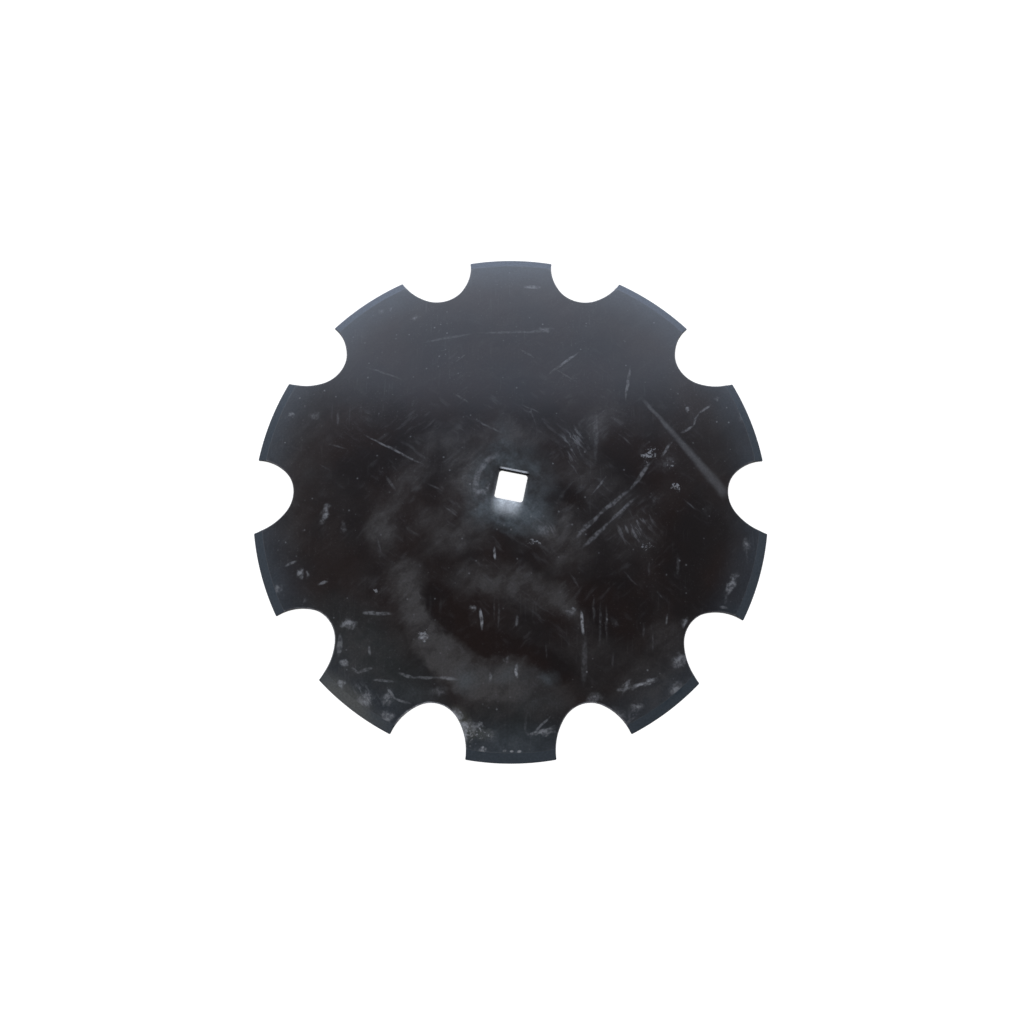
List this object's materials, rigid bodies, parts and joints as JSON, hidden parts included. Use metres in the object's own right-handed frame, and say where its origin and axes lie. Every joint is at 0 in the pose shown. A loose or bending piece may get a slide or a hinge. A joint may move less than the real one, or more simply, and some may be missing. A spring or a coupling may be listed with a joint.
{
  "type": "notched harrow disc blade",
  "caption": "Dished steel disc with round notches in its bevelled rim and a square axle hole in its flat centre.",
  "frame": {"origin": "on the dish's axis, in the plane of the rim that the blade lies on, hollow side down", "axes": "+Z along the dish's axis, out of the convex side; +Y through the middle of a tooth, +X through a notch"},
  "size_m": [0.554, 0.56, 0.054],
  "materials": {
    "black_paint": "semi-gloss black paint, handled and scuffed"
  },
  "bodies": {
    "root": {"disc_blade": "black_paint"}
  },
  "joints": []
}
